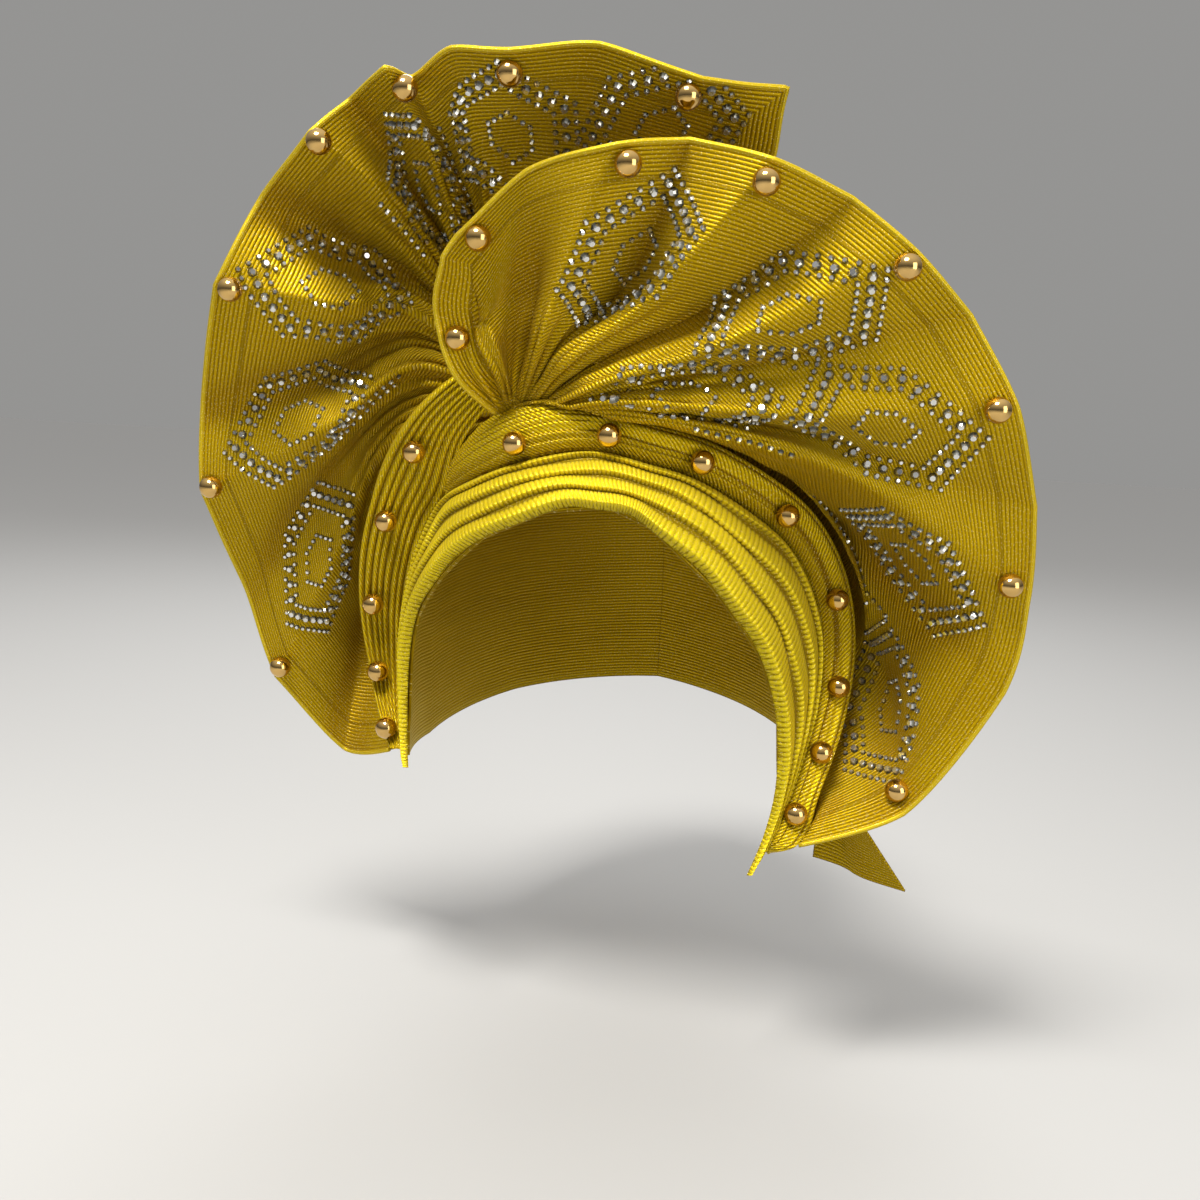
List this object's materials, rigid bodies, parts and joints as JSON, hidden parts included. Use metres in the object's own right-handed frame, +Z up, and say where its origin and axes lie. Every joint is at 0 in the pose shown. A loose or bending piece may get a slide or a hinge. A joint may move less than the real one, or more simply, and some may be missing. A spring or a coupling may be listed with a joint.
{
  "type": "tied gele head tie",
  "caption": "Head wrap of stiff ribbed cloth with a pleated forehead band, a rolled edge and large pleated fans set with round metal beads.",
  "frame": {"origin": "crown of the wearer's head, on the underside of the cap's top", "axes": "+Z up along the wearer's head, -Y the way the face looks, +X the wearer's left"},
  "size_m": [0.2864, 0.2132, 0.2796],
  "materials": {
    "ribbed_cloth": "ribbed faille with a silky sheen",
    "band_cloth": "ribbed faille, folded so that its ribs face the light",
    "bead_gold": "polished gold plate"
  },
  "bodies": {
    "root": {"crown_cap": "ribbed_cloth", "forehead_band": "band_cloth", "nape_band": "ribbed_cloth", "front_roll": "ribbed_cloth", "left_pleats": "ribbed_cloth", "front_fan": "ribbed_cloth", "back_fan": "ribbed_cloth", "tail": "ribbed_cloth", "bead_front_1": "bead_gold", "bead_front_2": "bead_gold", "bead_front_3": "bead_gold", "bead_front_4": "bead_gold", "bead_front_5": "bead_gold", "bead_front_6": "bead_gold", "bead_front_7": "bead_gold", "bead_front_8": "bead_gold", "bead_back_1": "bead_gold", "bead_back_2": "bead_gold", "bead_back_3": "bead_gold", "bead_back_4": "bead_gold", "bead_back_5": "bead_gold", "bead_back_6": "bead_gold", "bead_back_7": "bead_gold", "bead_roll_1": "bead_gold", "bead_roll_2": "bead_gold", "bead_roll_3": "bead_gold", "bead_roll_4": "bead_gold", "bead_roll_5": "bead_gold", "bead_roll_6": "bead_gold", "bead_roll_7": "bead_gold", "bead_roll_8": "bead_gold", "bead_left_1": "bead_gold", "bead_left_2": "bead_gold", "bead_left_3": "bead_gold", "bead_left_4": "bead_gold", "bead_left_5": "bead_gold"}
  },
  "joints": []
}
